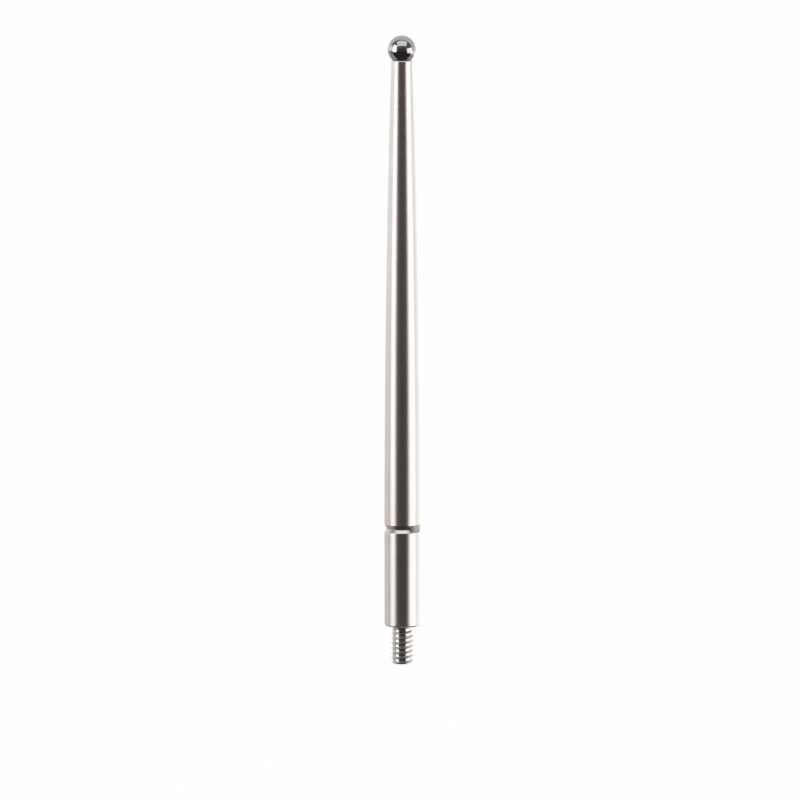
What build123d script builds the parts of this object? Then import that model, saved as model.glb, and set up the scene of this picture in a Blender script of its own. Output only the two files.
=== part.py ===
from build123d import *
import os
from math import radians, sqrt, tan

# A ball-tipped stylus for a lever indicator, in millimetres.
# The axis is Z. The origin is the centre of the flat shoulder that seats against the
# indicator's lever. The ball is at the top and the threaded stud points down.

# Overall size
reach = 41.9               # from the seating shoulder to the far side of the ball
shank_length = 6.95        # from the seating shoulder to the joint with the stem

# Contact ball, and its cup in the tip of the stem
ball_d = 2.0
braze_gap = 0.01           # film between brazed faces, at the cup and round the spigot
rim_chamfer = 0.03         # width of the bevel round the cup
rim_chamfer_height = 0.05
rim_land = 0.02            # flat left between the bevel and the cup

# Tapered stem
stem_tip_d = 1.48          # just under the ball
stem_belly = 0.12          # how far the side swells beyond a straight cone, half way up
stem_chamfer_height = 0.29  # upper flank of the groove round the joint

# Joint between stem and shank
groove_depth = 0.155
spigot_d = 1.2
spigot_length = 3.5
spigot_chamfer = 0.1
socket_floor_gap = 0.2     # left under the spigot, above the drill point
drill_point_angle = 118.0  # degrees

# Threaded shank
shank_d = 2.5              # the stem's big end is ground flush with it
shank_chamfer_height = 0.235  # lower flank of the groove round the joint
shoulder_chamfer = 0.10
thread_d = 1.6
thread_pitch = 0.35
stud_length = 2.68
stud_end_chamfer = 0.14
relief_edge_gap = 0.02     # between the thread's crest and the inner edge of the shoulder
relief_pitches_long = 1.2  # the round-bottomed relief between shoulder and thread
relief_pitches_deep = 0.35

# Radii and heights that follow from the sizes above
ball_r = ball_d / 2
shank_r = shank_d / 2
thread_r = thread_d / 2
tip_r = stem_tip_d / 2
joint_r = shank_r - groove_depth
spigot_r = spigot_d / 2
socket_r = spigot_r + braze_gap

ball_z = reach - ball_r
cup_r = ball_r + braze_gap
bevel_top_r = tip_r - rim_chamfer
cup_mouth_r = bevel_top_r - rim_land
rim_z = ball_z - sqrt(cup_r**2 - cup_mouth_r**2)

joint_z = shank_length
stem_side_low_z = joint_z + stem_chamfer_height
stem_side_top_z = rim_z - rim_chamfer_height
spigot_end_z = joint_z - spigot_length
socket_floor_z = spigot_end_z - socket_floor_gap
drill_point_z = socket_floor_z - socket_r / tan(radians(drill_point_angle / 2))

relief_r = thread_r - relief_pitches_deep * thread_pitch
relief_end_z = -relief_pitches_long * thread_pitch
shoulder_inner_r = thread_r + relief_edge_gap


def turned(outline):
    """The solid that a closed half outline, radius against height, sweeps about the axis."""
    return revolve(make_face(Plane.XZ * outline), axis=Axis.Z)


def contact_ball():
    """The ball alone, a full sphere."""
    return Pos(0, 0, ball_z) * Sphere(ball_r)


def tapered_stem():
    """Slim stem with a slightly swelling side, a cup at its tip and a spigot at its foot."""
    foot = (shank_r, stem_side_low_z)
    top = (tip_r, stem_side_top_z)
    half_way = ((foot[0] + top[0]) / 2 + stem_belly, (foot[1] + top[1]) / 2)
    side = ThreePointArc(foot, half_way, top)
    tip = Polyline(top, (bevel_top_r, rim_z), (0, rim_z))
    heart = Polyline(
        (0, rim_z),
        (0, spigot_end_z),
        (spigot_r - spigot_chamfer, spigot_end_z),
        (spigot_r, spigot_end_z + spigot_chamfer),
        (spigot_r, joint_z),
        (joint_r, joint_z),
        foot,
    )
    blank = turned(side + tip + heart)
    return blank - Pos(0, 0, ball_z) * Sphere(cup_r)


def threaded_shank():
    """Plain shank with a socket above, and a seating shoulder and a threaded stud below."""
    shoulder_edge = (shoulder_inner_r, 0)
    thread_start = (thread_r, relief_end_z)
    relief = ThreePointArc(shoulder_edge, (relief_r, relief_end_z / 2), thread_start)
    stud = Polyline(
        thread_start,
        (thread_r, stud_end_chamfer - stud_length),
        (thread_r - stud_end_chamfer, -stud_length),
        (0, -stud_length),
    )
    shank = Polyline(
        (0, -stud_length),
        (0, joint_z),
        (joint_r, joint_z),
        (shank_r, joint_z - shank_chamfer_height),
        (shank_r, shoulder_chamfer),
        (shank_r - shoulder_chamfer, 0),
        shoulder_edge,
    )
    socket = Polyline(
        (0, drill_point_z),
        (socket_r, socket_floor_z),
        (socket_r, joint_z),
        (0, joint_z),
        (0, drill_point_z),
    )
    return turned(relief + stud + shank) - turned(socket)


pieces = {
    "contact_ball": contact_ball(),
    "tapered_stem": tapered_stem(),
    "threaded_shank": threaded_shank(),
}
os.makedirs("parts", exist_ok=True)
for name, piece in pieces.items():
    export_step(piece, f"parts/{name}.step")
    print(name, "volume", round(piece.volume, 3), "valid", piece.is_valid)
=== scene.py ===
"""Dresses a ball-tipped indicator stylus: ground and polished steel, a cut thread, and a studio."""

import math

import bmesh
import bpy
from bpy.props import FloatProperty, FloatVectorProperty, IntProperty, PointerProperty
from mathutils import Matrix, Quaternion, Vector


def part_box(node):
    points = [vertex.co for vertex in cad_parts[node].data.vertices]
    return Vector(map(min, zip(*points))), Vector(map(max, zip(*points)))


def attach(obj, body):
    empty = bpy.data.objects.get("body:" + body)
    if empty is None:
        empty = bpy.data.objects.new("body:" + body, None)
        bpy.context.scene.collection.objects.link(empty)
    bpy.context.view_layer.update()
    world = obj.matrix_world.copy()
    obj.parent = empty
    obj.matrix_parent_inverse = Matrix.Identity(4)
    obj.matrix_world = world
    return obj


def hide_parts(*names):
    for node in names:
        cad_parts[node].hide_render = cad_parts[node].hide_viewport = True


bl_info = {
    "name": "Ball indicator stylus",
    "version": (1, 0, 0),
    "blender": (4, 5, 0),
    "location": "3D View > Sidebar > Stylus",
    "description": "Makes the ball, ground stem, threaded shank and brazed joint of a stylus",
    "category": "Add Mesh",
}

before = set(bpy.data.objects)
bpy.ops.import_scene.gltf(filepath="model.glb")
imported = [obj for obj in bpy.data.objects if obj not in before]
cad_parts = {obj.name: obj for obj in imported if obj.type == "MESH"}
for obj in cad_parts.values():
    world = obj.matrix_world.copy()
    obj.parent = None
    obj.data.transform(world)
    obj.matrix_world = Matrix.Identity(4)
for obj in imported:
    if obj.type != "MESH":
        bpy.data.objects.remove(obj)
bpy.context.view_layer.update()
# The facetted ball stops short of its true size along X, so its sizes are taken along Z
ball_low, ball_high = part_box("contact_ball")
stem_low, stem_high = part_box("tapered_stem")
shank_low, shank_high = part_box("threaded_shank")

MM = 0.001
FULL_TURN = 2 * math.pi
WHITE = (1.0, 1.0, 1.0)

# Details of the turned pieces
EDGE_BREAK = 0.012 * MM         # how far back a sharp corner is eased
SPIGOT_BEVEL = 0.1 * MM
SOCKET_FLOOR_GAP = 0.2 * MM     # between the spigot's end and the socket's floor
DRILL_POINT_ANGLE = math.radians(118.0)
RELIEF_EDGE_GAP = 0.02 * MM     # between the thread's crest and the shoulder's inner edge
RELIEF_LONG = 1.2               # in pitches
RELIEF_DEEP = 0.35              # in pitches

# The thread as cut
FIRST_CREST = -0.02 * MM        # height of a crest, at angle 0
CREST_LAND = 0.03               # half the width of a crest's flat, in pitches
THREAD_DEEP = 0.36              # in pitches
FLANK_ANGLE = math.radians(30.0)
RUN_OUT = 2.1                   # how far down the thread reaches its full depth, in pitches
ROOT_FILLET = 0.06 * MM         # between the shoulder and the stud
END_RING_INSET = 0.03 * MM      # from the edge of the stud's end to the first ring on it

# Rings of faces along each piece, and columns round the tent
BALL_RINGS = 96
CUP_RINGS = 14
SIDE_RINGS = 72
STUD_RINGS = 300
BRAZE_STRIPS = 10
TENT_RINGS = 48
TENT_COLUMNS = 64

# Colour that heat lends to steel, and the middle of the studio
STRAW = (0.95, 0.87, 0.76)
MIDDLE = (0.0, 0.0, 20 * MM)


def length(name, description, default):
    """A length that a user may change, in metres."""
    return FloatProperty(
        name=name,
        description=description,
        default=default,
        min=0.0,
        precision=6,
        subtype="DISTANCE",
        unit="LENGTH",
    )


def angle(name, description, default):
    """An angle that a user may change."""
    return FloatProperty(
        name=name,
        description=description,
        default=default,
        subtype="ANGLE",
        unit="ROTATION",
    )


def colour(name, description, default):
    """A linear colour that a user may change."""
    return FloatVectorProperty(
        name=name,
        description=description,
        default=default,
        size=3,
        min=0.0,
        max=1.0,
        subtype="COLOR",
    )


def share(name, description, default):
    """A number from 0 to 1 that a user may change."""
    return FloatProperty(
        name=name,
        description=description,
        default=default,
        min=0.0,
        max=1.0,
        subtype="FACTOR",
    )


class StylusSizes(bpy.types.PropertyGroup):
    """Sizes of the stylus, in metres, from the seating shoulder up and down the axis."""

    ball_radius: length("Ball radius", "Radius of the contact ball", (ball_high.z - ball_low.z) / 2)
    ball_height: length("Ball height", "Ball's centre above the shoulder", (ball_high.z + ball_low.z) / 2)
    braze_gap: length("Braze gap", "Film of braze at the cup and round the spigot", 0.01 * MM)
    rim_height: length("Rim height", "Rim of the cup above the shoulder", stem_high.z)
    rim_bevel: length("Rim bevel", "Width of the bevel round the cup", 0.03 * MM)
    rim_bevel_height: length("Rim bevel height", "Height of the bevel round the cup", 0.05 * MM)
    tip_radius: length("Tip radius", "Radius of the stem just under the ball", 0.74 * MM)
    belly: length("Belly", "How far the stem's side swells beyond a straight cone", 0.12 * MM)
    shank_radius: length("Shank radius", "Radius of the plain shank", shank_high.x)
    joint_height: length("Joint height", "Joint of stem and shank above the shoulder", shank_high.z)
    groove_depth: length("Groove depth", "Depth of the groove round the joint", 0.155 * MM)
    groove_above: length("Groove above", "Height of the groove above the joint", 0.29 * MM)
    groove_below: length("Groove below", "Height of the groove below the joint", 0.235 * MM)
    spigot_radius: length("Spigot radius", "Radius of the stem's hidden spigot", 0.6 * MM)
    spigot_height: length("Spigot height", "End of the spigot above the shoulder", stem_low.z)
    shoulder_bevel: length("Shoulder bevel", "Bevel round the seating shoulder", 0.10 * MM)
    thread_radius: length("Thread radius", "Radius over the thread's crests", 0.8 * MM)
    thread_pitch: length("Thread pitch", "Distance from one crest to the next", 0.35 * MM)
    stud_length: length("Stud length", "Length of the stud below the shoulder", -shank_low.z)
    stud_bevel: length("Stud bevel", "Bevel at the end of the stud", 0.14 * MM)
    columns: IntProperty(name="Columns", description="Faces round each turned piece", default=192, min=24)


class StylusFinishes(bpy.types.PropertyGroup):
    """Colours and polish of the stylus's metals."""

    ball_colour: colour("Ball", "Colour of the ball's hard metal", (0.44, 0.44, 0.45))
    stem_colour: colour("Stem", "Colour of the stem's ground steel", (0.69, 0.665, 0.64))
    shank_colour: colour("Shank", "Colour of the shank's ground steel", (0.68, 0.66, 0.635))
    braze_colour: colour("Braze", "Colour of the braze in the groove", (0.50, 0.46, 0.42))
    ball_roughness: share("Ball roughness", "Roughness of the polished ball", 0.05)
    ground_roughness: share("Ground roughness", "Roughness of the ground steel", 0.30)
    braze_roughness: share("Braze roughness", "Roughness of the braze", 0.42)


class StylusStudio(bpy.types.PropertyGroup):
    """Studio round the stylus."""

    camera_tilt: angle("Camera tilt", "How far the camera looks down", math.radians(8.0))
    camera_roll: angle("Camera roll", "How far the camera leans to the right", math.radians(0.04))
    camera_distance: length("Camera distance", "From the stylus to the camera", 1.0)
    picture_width: length("Picture width", "What the camera takes in at the stylus", 56.34 * MM)
    aim_height: length("Aim height", "Middle of the picture above the shoulder", 16.06 * MM)
    aim_left: length("Aim left", "How far the middle of the picture lies left of the axis", 0.150 * MM)
    tent_radius: length("Tent radius", "Radius of the light tent", 1.35)
    box_light: FloatProperty(
        name="Softbox light",
        description="Brightness of the left softbox, which the others follow",
        default=2.0,
        min=0.0,
    )


class Signal:
    """A value on its way through a finish. Sums and products of signals add Math nodes."""

    def __init__(self, bench, socket):
        self.bench = bench
        self.socket = socket

    def __add__(self, other):
        return self.bench.maths("ADD", self, other)

    def __radd__(self, other):
        return self.bench.maths("ADD", other, self)

    def __sub__(self, other):
        return self.bench.maths("SUBTRACT", self, other)

    def __rsub__(self, other):
        return self.bench.maths("SUBTRACT", other, self)

    def __mul__(self, other):
        return self.bench.maths("MULTIPLY", self, other)

    def __rmul__(self, other):
        return self.bench.maths("MULTIPLY", other, self)

    def __truediv__(self, other):
        return self.bench.maths("DIVIDE", self, other)

    def __rtruediv__(self, other):
        return self.bench.maths("DIVIDE", other, self)

    def __neg__(self):
        return self.bench.maths("MULTIPLY", self, -1.0)

    def __abs__(self):
        return self.bench.maths("ABSOLUTE", self)

    def __lt__(self, other):
        return self.bench.maths("LESS_THAN", self, other)

    def __gt__(self, other):
        return self.bench.maths("GREATER_THAN", self, other)


class Bench:
    """The node tree of one finish, emptied and ready for new nodes."""

    def __init__(self, tree):
        self.tree = tree
        tree.nodes.clear()

    def add(self, kind, settings=None, sockets=None, output=0):
        """Adds a node: its settings first, then a value or a signal for each of its sockets."""
        node = self.tree.nodes.new(kind)
        for name, value in (settings or {}).items():
            setattr(node, name, value)
        for name, value in (sockets or {}).items():
            if isinstance(value, Signal):
                self.tree.links.new(value.socket, node.inputs[name])
            elif isinstance(value, tuple) and node.inputs[name].type == "RGBA":
                node.inputs[name].default_value = (*value, 1.0)
            else:
                node.inputs[name].default_value = value
        return Signal(self, node.outputs[output]) if node.outputs else None

    def maths(self, operation, *values):
        """One Math node on values or signals."""
        return self.add("ShaderNodeMath", {"operation": operation}, dict(enumerate(values)))

    def point(self):
        """The point being shaded, in metres."""
        return self.add("ShaderNodeTexCoord", output="Object")

    def along(self, axis, point):
        """A point's place along the axis X, Y or Z."""
        return self.add("ShaderNodeSeparateXYZ", sockets={"Vector": point}, output=axis)

    def noise(self, point, fineness, detail=3.0, roughness=0.55):
        """Noise from 0 to 1, with so many grains to the metre along X, Y and Z."""
        stretched = self.add("ShaderNodeVectorMath", {"operation": "MULTIPLY"}, {0: point, 1: fineness})
        return self.add(
            "ShaderNodeTexNoise",
            {"noise_dimensions": "3D"},
            {"Vector": stretched, "Scale": 1.0, "Detail": detail, "Roughness": roughness},
        )

    def step(self, value, low, high, start=0.0, end=1.0):
        """Goes smoothly from start to end while the value goes from low to high."""
        return self.add(
            "ShaderNodeMapRange",
            {"interpolation_type": "SMOOTHSTEP"},
            {"Value": value, "From Min": low, "From Max": high, "To Min": start, "To Max": end},
        )

    def blend(self, amount, first, second):
        """A colour between two others. The Mix node's colours are its sockets 6 and 7, and output 2."""
        return self.add(
            "ShaderNodeMix",
            {"data_type": "RGBA"},
            {0: amount, 6: first, 7: second},
            output=2,
        )

    def scaled(self, tint, amount):
        """A colour made brighter or darker."""
        return self.add("ShaderNodeVectorMath", {"operation": "SCALE"}, {"Vector": tint, "Scale": amount})

    def bump(self, height, distance, strength):
        """A normal raised by a height map."""
        return self.add(
            "ShaderNodeBump",
            sockets={"Height": height, "Distance": distance, "Strength": strength},
        )

    def metal(self, base, roughness, normal):
        """Ends the finish as a bare metal."""
        shader = self.add(
            "ShaderNodeBsdfPrincipled",
            sockets={"Base Color": base, "Metallic": 1.0, "Roughness": roughness, "Normal": normal},
        )
        self.add("ShaderNodeOutputMaterial", sockets={"Surface": shader})


def new_finish(name):
    """An empty material and its bench."""
    material = bpy.data.materials.new(name)
    material.use_nodes = True
    return material, Bench(material.node_tree)


def darker(tint, amount):
    """A colour scaled towards black."""
    return tuple(value * amount for value in tint)


def polished_ball_finish():
    """Lapped hard metal: a mirror with a faint haze and hair-fine lapping scratches."""
    looks = bpy.context.scene.stylus_finishes
    tint = tuple(looks.ball_colour)
    material, bench = new_finish("lapped_hard_metal")
    point = bench.point()
    haze = bench.noise(point, (2400.0, 2400.0, 2400.0), detail=4.0)
    scratches = bench.noise(point, (3000.0, 26000.0, 9000.0), detail=2.0)
    bench.metal(
        base=bench.blend(bench.step(haze, 0.35, 0.7), darker(tint, 0.94), tint),
        roughness=looks.ball_roughness * (0.7 + 0.6 * haze),
        normal=bench.bump(scratches, distance=0.0004 * MM, strength=0.25),
    )
    return material


def ground_steel(name, tint):
    """Cylindrically ground steel: fine rings round the axis over slow changes of tone."""
    looks = bpy.context.scene.stylus_finishes
    material, bench = new_finish(name)
    point = bench.point()
    rings = bench.noise(point, (260.0, 260.0, 42000.0), roughness=0.7)
    feed = bench.noise(point, (120.0, 120.0, 5200.0), detail=2.0)
    cloud = bench.noise(point, (420.0, 420.0, 260.0))
    tone = 0.55 * bench.step(rings, 0.3, 0.72) + 0.25 * feed + 0.2 * cloud
    base = bench.blend(tone, darker(tint, 0.9), tint)
    roughness = looks.ground_roughness * (0.78 + 0.3 * rings + 0.16 * cloud)
    normal = bench.bump(0.7 * rings + 0.3 * feed, distance=0.0012 * MM, strength=0.35)
    return material, bench, point, base, roughness, normal


def stem_finish():
    """The stem's steel, tinted a little by the heat of brazing at both of its ends."""
    sizes = bpy.context.scene.stylus_sizes
    tint = tuple(bpy.context.scene.stylus_finishes.stem_colour)
    material, bench, point, base, roughness, normal = ground_steel("ground_stem_steel", tint)
    z = bench.along("Z", point)
    drift = 0.9 * MM * bench.noise(point, (900.0, 900.0, 900.0), detail=2.0)
    near_tip = bench.step(z + drift, sizes.rim_height - 1.6 * MM, sizes.rim_height + 0.4 * MM)
    near_joint = bench.step(z - drift, sizes.joint_height + 2.2 * MM, sizes.joint_height + 0.1 * MM)
    straw = tuple(own * lent for own, lent in zip(tint, STRAW))
    bench.metal(bench.blend(0.1 * near_tip + 0.2 * near_joint, base, straw), roughness, normal)
    return material


def shank_finish():
    """The shank's steel, brighter on the stud, with painted shade in the thread's roots, which are also a
    little rougher.
    """
    sizes = bpy.context.scene.stylus_sizes
    tint = tuple(bpy.context.scene.stylus_finishes.shank_colour)
    material, bench, point, base, roughness, normal = ground_steel("ground_shank_steel", tint)
    x, y, z = (bench.along(axis, point) for axis in "XYZ")
    margin = 0.02 * MM
    on_stud = z < -margin
    above_end = z > margin - sizes.stud_length
    radius = bench.maths("SQRT", x * x + y * y)
    in_root = bench.step(radius, 0.72 * MM, 0.60 * MM) * on_stud * above_end
    # Painted shade: the base colour darkens in the thread's roots, broken up by noise
    root_shade = in_root * (0.6 + 0.4 * bench.noise(point, (3200.0, 3200.0, 3200.0)))
    # The roots' painted shade darkens the base colour and also raises the roughness
    bench.metal(
        base=bench.blend(0.2 * root_shade, base, darker(tint, 0.45)),
        roughness=roughness * (1 - 0.35 * on_stud) + 0.06 * root_shade,
        normal=normal,
    )
    return material


def braze_finish():
    """Braze left as it set: dull, a little lumpy, with flux stains."""
    looks = bpy.context.scene.stylus_finishes
    tint = tuple(looks.braze_colour)
    material, bench = new_finish("set_braze")
    point = bench.point()
    lumps = bench.noise(point, (5200.0, 5200.0, 7600.0), detail=4.0, roughness=0.6)
    stain = bench.noise(point, (1700.0, 1700.0, 2600.0))
    bench.metal(
        base=bench.blend(bench.step(stain, 0.38, 0.64), darker(tint, 0.6), tint),
        roughness=looks.braze_roughness * (0.8 + 0.4 * lumps),
        normal=bench.bump(lumps, distance=0.012 * MM, strength=0.6),
    )
    return material


def circle_through(first, middle, last):
    """Centre and radius of the circle through three points."""
    (ax, ay), (bx, by), (cx, cy) = first, middle, last
    twice = 2 * (ax * (by - cy) + bx * (cy - ay) + cx * (ay - by))
    a2 = ax * ax + ay * ay
    b2 = bx * bx + by * by
    c2 = cx * cx + cy * cy
    x = (a2 * (by - cy) + b2 * (cy - ay) + c2 * (ay - by)) / twice
    y = (a2 * (cx - bx) + b2 * (ax - cx) + c2 * (bx - ax)) / twice
    return (x, y), math.hypot(ax - x, ay - y)


def arc_points(first, middle, last, count):
    """Points along an arc of less than half a turn, from first to last through middle."""
    (x, y), radius = circle_through(first, middle, last)
    start = math.atan2(first[1] - y, first[0] - x)
    bend = (math.atan2(last[1] - y, last[0] - x) - start + math.pi) % FULL_TURN - math.pi
    points = []
    for i in range(count + 1):
        turned = start + bend * i / count
        points.append((x + radius * math.cos(turned), y + radius * math.sin(turned)))
    return points


def eased(outline):
    """The outline with each sharp corner broken to a small round.

    A point beside each end of the round keeps the shading of the faces next to it flat.
    """
    blunt = math.radians(12.0)
    most_of_side = 0.35
    kept_beside = 0.6
    round_steps = 4
    points = [Vector(point) for point in outline]
    made = [points[0]]
    for before, corner, after in zip(points, points[1:], points[2:]):
        way_in = corner - before
        way_out = after - corner
        if way_in.angle(way_out) < blunt:
            made.append(corner)
            continue
        reach = min(EDGE_BREAK, way_in.length * most_of_side, way_out.length * most_of_side)
        start = corner - way_in.normalized() * reach
        end = corner + way_out.normalized() * reach
        made.append(start - way_in.normalized() * reach * kept_beside)
        for i in range(round_steps + 1):
            along = i / round_steps
            made.append(start * (1 - along) ** 2 + corner * 2 * along * (1 - along) + end * along**2)
        made.append(end + way_out.normalized() * reach * kept_beside)
    made.append(points[-1])
    return [(point.x, point.y) for point in made]


def globe(radius, middle, rings):
    """Rows of a full sphere, from its lowest point to its highest."""
    rows = []
    for i in range(rings + 1):
        lift = math.pi * i / rings
        rows.append((radius * math.sin(lift), middle - radius * math.cos(lift)))
    return rows


def around(radius, turned, height):
    """The point at a radius, an angle and a height."""
    return (radius * math.cos(turned), radius * math.sin(turned), height)


def smooth_piece(name, build):
    """Makes a smooth object of a finished mesh."""
    bmesh.ops.recalc_face_normals(build, faces=build.faces)
    for face in build.faces:
        face.smooth = True
    mesh = bpy.data.meshes.new(name)
    build.to_mesh(mesh)
    build.free()
    piece = bpy.data.objects.new(name, mesh)
    bpy.context.scene.collection.objects.link(piece)
    return piece


def skin(name, rows, columns):
    """A closed skin turned about the axis.

    A row is a radius and a height. The radius may be a function of the angle, and a row with
    no radius is a single point on the axis.
    """
    on_axis = 1e-9
    build = bmesh.new()
    rings = []
    for radius, height in rows:
        if not callable(radius) and radius < on_axis:
            rings.append([build.verts.new((0.0, 0.0, height))])
            continue
        ring = []
        for i in range(columns):
            turned = FULL_TURN * i / columns
            reach = radius(turned) if callable(radius) else radius
            ring.append(build.verts.new(around(reach, turned, height)))
        rings.append(ring)
    for lower, upper in zip(rings, rings[1:]):
        for i in range(columns):
            j = (i + 1) % columns
            if len(lower) == 1:
                build.faces.new((lower[0], upper[j], upper[i]))
            elif len(upper) == 1:
                build.faces.new((lower[i], lower[j], upper[0]))
            else:
                build.faces.new((lower[i], lower[j], upper[j], upper[i]))
    return smooth_piece(name, build)


def hand_over(piece, material, slot, *nodes):
    """Gives a piece its finish, sets it on the model's body and hides the model's nodes that it stands in
    for.
    """
    if not piece.data.polygons:
        raise RuntimeError(f"{piece.name} has no faces")
    piece.data.materials.append(material)
    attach(piece, "root")
    if nodes:
        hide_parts(*nodes)


class STYLUS_OT_ball(bpy.types.Operator):
    """Make the lapped contact ball"""

    bl_idname = "stylus.ball"
    bl_label = "Contact ball"

    def execute(self, context):
        sizes = context.scene.stylus_sizes
        rows = globe(sizes.ball_radius, sizes.ball_height, BALL_RINGS)
        piece = skin("lapped_ball", rows, sizes.columns)
        hand_over(piece, polished_ball_finish(), "ball_metal", "contact_ball")
        return {"FINISHED"}


class STYLUS_OT_stem(bpy.types.Operator):
    """Make the tapered stem with its cup and hidden spigot"""

    bl_idname = "stylus.stem"
    bl_label = "Tapered stem"

    def execute(self, context):
        sizes = context.scene.stylus_sizes
        cup = sizes.ball_radius + sizes.braze_gap
        mouth = math.sqrt(cup**2 - (sizes.ball_height - sizes.rim_height) ** 2)
        dip = math.asin(mouth / cup)
        hollow = []
        for i in range(CUP_RINGS + 1):
            lift = dip * i / CUP_RINGS
            hollow.append((cup * math.sin(lift), sizes.ball_height - cup * math.cos(lift)))
        foot = (sizes.shank_radius, sizes.joint_height + sizes.groove_above)
        top = (sizes.tip_radius, sizes.rim_height - sizes.rim_bevel_height)
        half_way = ((foot[0] + top[0]) / 2 + sizes.belly, (foot[1] + top[1]) / 2)
        outline = [
            *hollow,
            (sizes.tip_radius - sizes.rim_bevel, sizes.rim_height),
            *arc_points(top, half_way, foot, SIDE_RINGS),
            (sizes.shank_radius - sizes.groove_depth, sizes.joint_height),
            (sizes.spigot_radius, sizes.joint_height),
            (sizes.spigot_radius, sizes.spigot_height + SPIGOT_BEVEL),
            (sizes.spigot_radius - SPIGOT_BEVEL, sizes.spigot_height),
            (0.0, sizes.spigot_height),
        ]
        piece = skin("ground_stem", eased(outline), sizes.columns)
        hand_over(piece, stem_finish(), "stem_steel", "tapered_stem")
        return {"FINISHED"}


class STYLUS_OT_shank(bpy.types.Operator):
    """Make the plain shank, its seating shoulder and the threaded stud"""

    bl_idname = "stylus.shank"
    bl_label = "Threaded shank"

    def execute(self, context):
        sizes = context.scene.stylus_sizes
        socket = sizes.spigot_radius + sizes.braze_gap
        floor = sizes.spigot_height - SOCKET_FLOOR_GAP
        inner = sizes.thread_radius + RELIEF_EDGE_GAP
        outline = [
            (0.0, floor - socket / math.tan(DRILL_POINT_ANGLE / 2)),
            (socket, floor),
            (socket, sizes.joint_height),
            (sizes.shank_radius - sizes.groove_depth, sizes.joint_height),
            (sizes.shank_radius, sizes.joint_height - sizes.groove_below),
            (sizes.shank_radius, sizes.shoulder_bevel),
            (sizes.shank_radius - sizes.shoulder_bevel, 0.0),
            (inner, 0.0),
        ]
        rows = eased(outline)

        relief_low = -RELIEF_LONG * sizes.thread_pitch
        waist = sizes.thread_radius - RELIEF_DEEP * sizes.thread_pitch
        (relief_x, relief_z), relief_curve = circle_through(
            (inner, 0.0), (waist, relief_low / 2), (sizes.thread_radius, relief_low)
        )
        depth = THREAD_DEEP * sizes.thread_pitch
        flank = math.tan(FLANK_ANGLE) * depth / sizes.thread_pitch
        root = sizes.thread_radius - depth
        run_out = RUN_OUT * sizes.thread_pitch
        end = -sizes.stud_length
        end_radius = sizes.thread_radius - sizes.stud_bevel

        def stud_radius(height):
            """Radius of the stud at a height, as a function of the angle."""
            grown = min(-height / run_out, 1.0)
            fillet = max(height + ROOT_FILLET, 0.0) ** 2 / (2 * ROOT_FILLET)

            def at(turned):
                turns = (height - FIRST_CREST) / sizes.thread_pitch - turned / FULL_TURN
                off_crest = abs(turns - round(turns))
                climb = min(max(1 - (off_crest - CREST_LAND) / flank, 0.0), 1.0)
                reach = root + depth * grown * climb + fillet
                if height > relief_low:
                    hollow = math.sqrt(max(relief_curve**2 - (height - relief_z) ** 2, 0.0))
                    reach = min(reach, relief_x - hollow)
                return min(reach, end_radius + (height - end))

            return at

        for i in range(1, STUD_RINGS + 1):
            height = end * i / STUD_RINGS
            rows.append((stud_radius(height), height))
        # Two rings on the end keep its shading flat
        rows.append((end_radius - END_RING_INSET, end))
        rows.append((end_radius / 2, end))
        rows.append((0.0, end))
        piece = skin("threaded_shank_steel", rows, sizes.columns)
        hand_over(piece, shank_finish(), "shank_steel", "threaded_shank")
        return {"FINISHED"}


def braze_level(turned):
    """How full the groove is: almost empty on one side and flush on the other."""
    fullest = math.radians(4.0)
    least = 0.08
    rise_from = 0.66
    rise_over = 0.2
    nearness = (1 + math.cos(turned - fullest)) / 2
    swell = least + (1 - least) * min(max((nearness - rise_from) / rise_over, 0.0), 1.0)
    waves = 0.04 * math.sin(3 * turned + 0.7) + 0.03 * math.sin(7 * turned + 2.1)
    return min(max(swell + waves * nearness, 0.06), 1.0)


class STYLUS_OT_braze(bpy.types.Operator):
    """Make the uneven ring of braze in the groove"""

    bl_idname = "stylus.braze"
    bl_label = "Braze in the groove"

    def execute(self, context):
        sizes = context.scene.stylus_sizes
        edge = sizes.shank_radius - sizes.groove_depth
        shrinkage = 0.002 * MM
        bite = 0.03 * MM
        bite_half_height = 0.02 * MM
        swell = 0.12    # of the groove's depth, where it is full
        sag = 0.30      # of the groove's depth, where it is almost empty
        build = bmesh.new()
        rings = []
        for i in range(sizes.columns):
            turned = FULL_TURN * i / sizes.columns
            level = braze_level(turned)
            front = edge + sizes.groove_depth * level
            low = sizes.joint_height - sizes.groove_below * level
            high = sizes.joint_height + sizes.groove_above * level
            crown = (swell * level - sag * (1 - level)) * sizes.groove_depth * level
            outline = []
            for k in range(BRAZE_STRIPS + 1):
                along = k / BRAZE_STRIPS
                bulge = crown * 4 * along * (1 - along)
                outline.append((front + bulge - shrinkage, low + (high - low) * along))
            outline.append((edge - bite, sizes.joint_height + bite_half_height))
            outline.append((edge - bite, sizes.joint_height - bite_half_height))
            rings.append([build.verts.new(around(reach, turned, height)) for reach, height in outline])
        for here, there in zip(rings, rings[1:] + rings[:1]):
            for k in range(len(here)):
                m = (k + 1) % len(here)
                build.faces.new((here[k], there[k], there[m], here[m]))
        piece = smooth_piece("braze_ring", build)
        hand_over(piece, braze_finish(), "stem_steel")
        return {"FINISHED"}


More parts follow.
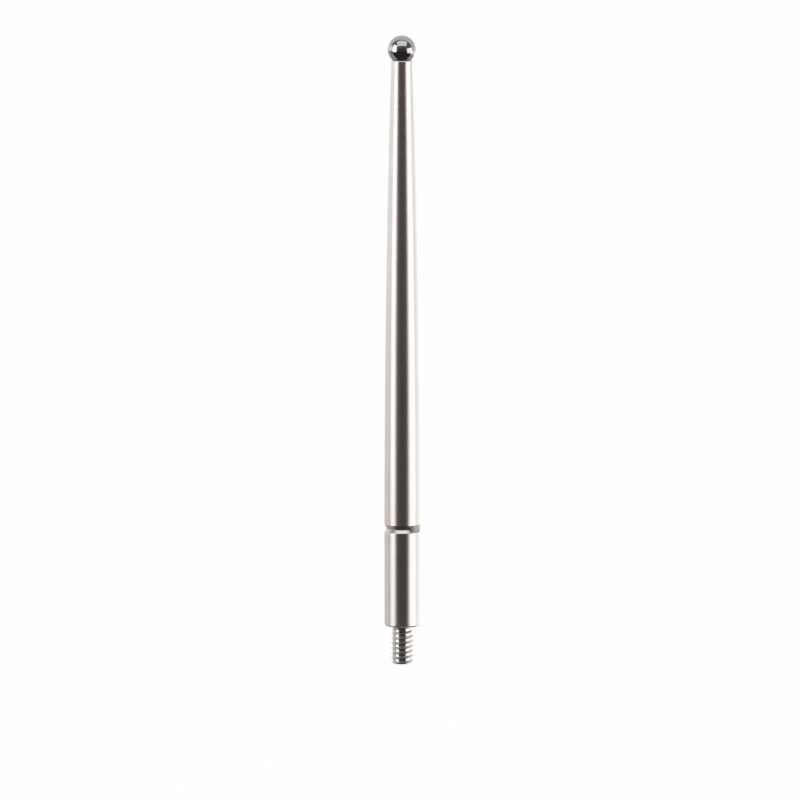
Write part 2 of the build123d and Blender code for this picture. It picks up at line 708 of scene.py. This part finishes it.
def tent_finish(radius):
    """Inside of the light tent: a dark warm front, and a pale rear whose tone changes with height.

    Places on it are in degrees: aside is how far round from the front, and lift is above level.
    The upright shank mirrors the tent near a lift of -8, and the leaning stem a little higher.
    """
    degrees = 180 / math.pi
    material, bench = new_finish("light_tent")
    point = bench.point()
    x, y, z = (bench.along(axis, point) for axis in "XYZ")
    turn = bench.maths("ARCTAN2", x, -y) * degrees
    lift = bench.maths("ARCSINE", z / radius) * degrees
    aside = abs(turn)
    left = turn < 0.0
    raised = bench.step(lift, -10.2, -5.2)
    high = bench.step(lift, 6.5, 25.0)
    low = bench.step(lift, -19.0, -31.0)

    # Where the pale rear begins on each side: further back overhead on the left, and a little
    # further back for the stem than for the shank on the right.
    left_rear = bench.step(aside - 22 * bench.step(lift, 15.0, 32.0), 76.0, 90.0)
    right_rear = bench.step(aside - 7 * raised, 77.0, 91.0)
    rear = (left * left_rear + (1 - left) * right_rear) * bench.step(lift, -68.0, -50.0)

    # How bright the rear is: by side near the middle, and even overhead and near the floor.
    far = bench.step(aside, 100.0, 160.0)
    left_low = 0.22 + 0.39 * bench.step(aside, 95.0, 115.0) * (1 - raised)
    left_tone = left_low + (1.18 - 0.31 * far) * raised
    right_tone = bench.step(lift, -9.3, -6.0, 1.5, 0.95) + 0.3 * raised * far
    rear_tone = left * left_tone + (1 - left) * right_tone
    rear_tone = rear_tone * (1 - high) + 0.88 * high
    rear_tone = rear_tone * (1 - low) + 0.48 * low

    # How bright the front is: almost dark, with a glow spilled round the softboxes.
    spill = 0.4 * bench.step(aside, 28.0, 44.0) * raised * (1 - high)
    front_tone = 0.038 + 0.052 * bench.step(lift, -9.6, -6.0) + 0.10 * bench.step(lift, 6.5, 33.0) + spill

    tone = rear * rear_tone + (1 - rear) * front_tone
    neutral = bench.maths("MAXIMUM", rear, bench.step(lift, 1.0, 25.0))
    warm = bench.blend(raised, (1.0, 0.93, 0.82), (1.0, 0.79, 0.71))
    tint = bench.blend(neutral, warm, WHITE)
    glow = bench.add("ShaderNodeEmission", sockets={"Color": bench.scaled(tint, tone), "Strength": 1.0})
    bench.add("ShaderNodeOutputMaterial", sockets={"Surface": glow})
    material.cycles.emission_sampling = "NONE"
    return material


def floor_finish():
    """A white floor that keeps a soft shadow."""
    material, bench = new_finish("white_floor")
    lit = bench.add("ShaderNodeBsdfDiffuse", sockets={"Color": (0.9, 0.9, 0.9)})
    white = bench.add("ShaderNodeEmission", sockets={"Color": WHITE, "Strength": 1.0})
    seen = bench.add("ShaderNodeLightPath", output="Is Camera Ray")
    both = bench.add("ShaderNodeMixShader", sockets={0: 0.93 * seen, 1: lit, 2: white})
    bench.add("ShaderNodeOutputMaterial", sockets={"Surface": both})
    return material


def lay_floor(level):
    """Lays the floor at a level."""
    half = 0.6
    corners = [(-half, -half, level), (half, -half, level), (half, half, level), (-half, half, level)]
    mesh = bpy.data.meshes.new("floor")
    mesh.from_pydata(corners, [], [(0, 1, 2, 3)])
    floor = bpy.data.objects.new("floor", mesh)
    bpy.context.scene.collection.objects.link(floor)
    floor.data.materials.append(floor_finish())
    floor.visible_glossy = False


def pitch_tent(radius):
    """Puts up the light tent, which only mirrors see."""
    tent = skin("light_tent", globe(radius, 0.0, TENT_RINGS), TENT_COLUMNS)
    tent.location = MIDDLE
    tent.data.materials.append(tent_finish(radius))
    tent.visible_camera = False
    tent.visible_diffuse = False
    tent.visible_transmission = False
    tent.visible_shadow = False


def softbox(name, place, width, height, light):
    """A rectangular lamp that lights the stylus and shows in its metal.

    The light is the brightness of its face, whatever its size.
    """
    lamp = bpy.data.lights.new(name, "AREA")
    lamp.shape = "RECTANGLE"
    lamp.size = width
    lamp.size_y = height
    lamp.energy = light * math.pi * width * height
    holder = bpy.data.objects.new(name, lamp)
    holder.location = place
    holder.rotation_mode = "QUATERNION"
    holder.rotation_quaternion = (Vector(MIDDLE) - Vector(place)).to_track_quat("-Z", "Y")
    holder.visible_camera = False
    bpy.context.scene.collection.objects.link(holder)


def light_room():
    """A white room: full white where it is seen or mirrored, and softer where it lights."""
    world = bpy.data.worlds.new("studio")
    world.use_nodes = True
    bench = Bench(world.node_tree)
    seen = bench.add("ShaderNodeLightPath", output="Is Camera Ray")
    mirrored = bench.add("ShaderNodeLightPath", output="Is Glossy Ray")
    strength = 0.75 + 0.25 * bench.maths("MAXIMUM", seen, mirrored)
    white = bench.add("ShaderNodeBackground", sockets={"Color": WHITE, "Strength": strength})
    bench.add("ShaderNodeOutputWorld", sockets={"Surface": white})
    bpy.context.scene.world = world


def set_up_camera(studio):
    """Sets the camera in front of the stylus, a little above it."""
    scene = bpy.context.scene
    sensor_width = 36.0
    camera_data = bpy.data.cameras.new("camera")
    camera_data.sensor_width = sensor_width
    camera_data.lens = sensor_width * studio.camera_distance / studio.picture_width
    camera_data.clip_start = 0.01
    camera_data.clip_end = 5.0
    camera = bpy.data.objects.new("camera", camera_data)
    scene.collection.objects.link(camera)
    aim = Vector((-studio.aim_left, 0.0, studio.aim_height))
    back = Vector((0.0, -math.cos(studio.camera_tilt), math.sin(studio.camera_tilt)))
    camera.location = aim + back * studio.camera_distance
    camera.rotation_mode = "QUATERNION"
    roll = Quaternion((0.0, 0.0, 1.0), -studio.camera_roll)
    camera.rotation_quaternion = (-back).to_track_quat("-Z", "Y") @ roll
    scene.camera = camera


class STYLUS_OT_stage(bpy.types.Operator):
    """Make the floor, the light tent, the lamps and the camera"""

    bl_idname = "stylus.stage"
    bl_label = "Studio"

    def execute(self, context):
        scene = context.scene
        studio = scene.stylus_studio
        light = studio.box_light
        lay_floor(-scene.stylus_sizes.stud_length)
        pitch_tent(studio.tent_radius)
        softbox("left_softbox", (-0.927, -0.462, 0.215), width=0.71, height=0.98, light=light)
        softbox("right_softbox", (0.971, -0.400, -0.060), width=0.90, height=0.67, light=0.84 * light)
        softbox("top_softbox", (0.0, -0.525, 0.953), width=1.50, height=0.90, light=0.56 * light)
        light_room()
        set_up_camera(studio)
        scene.view_settings.view_transform = "Standard"
        return {"FINISHED"}


class STYLUS_PT_panel(bpy.types.Panel):
    """Lists the pieces of the stylus"""

    bl_idname = "STYLUS_PT_panel"
    bl_label = "Ball stylus"
    bl_space_type = "VIEW_3D"
    bl_region_type = "UI"
    bl_category = "Stylus"

    def draw(self, context):
        column = self.layout.column()
        for operator in OPERATORS:
            column.operator(operator.bl_idname)
        for group in ("stylus_sizes", "stylus_finishes", "stylus_studio"):
            box = self.layout.box()
            settings = getattr(context.scene, group)
            for name in settings.__annotations__:
                box.prop(settings, name)


OPERATORS = (STYLUS_OT_ball, STYLUS_OT_stem, STYLUS_OT_shank, STYLUS_OT_braze, STYLUS_OT_stage)
GROUPS = (StylusSizes, StylusFinishes, StylusStudio)


def register():
    for kind in (*GROUPS, *OPERATORS, STYLUS_PT_panel):
        bpy.utils.register_class(kind)
    bpy.types.Scene.stylus_sizes = PointerProperty(type=StylusSizes)
    bpy.types.Scene.stylus_finishes = PointerProperty(type=StylusFinishes)
    bpy.types.Scene.stylus_studio = PointerProperty(type=StylusStudio)


def unregister():
    del bpy.types.Scene.stylus_sizes
    del bpy.types.Scene.stylus_finishes
    del bpy.types.Scene.stylus_studio
    for kind in reversed((*GROUPS, *OPERATORS, STYLUS_PT_panel)):
        bpy.utils.unregister_class(kind)


def main():
    """Makes every piece in order."""
    register()
    bpy.ops.stylus.ball()
    bpy.ops.stylus.stem()
    bpy.ops.stylus.shank()
    bpy.ops.stylus.braze()
    bpy.ops.stylus.stage()


if __name__ == "__main__":
    main()
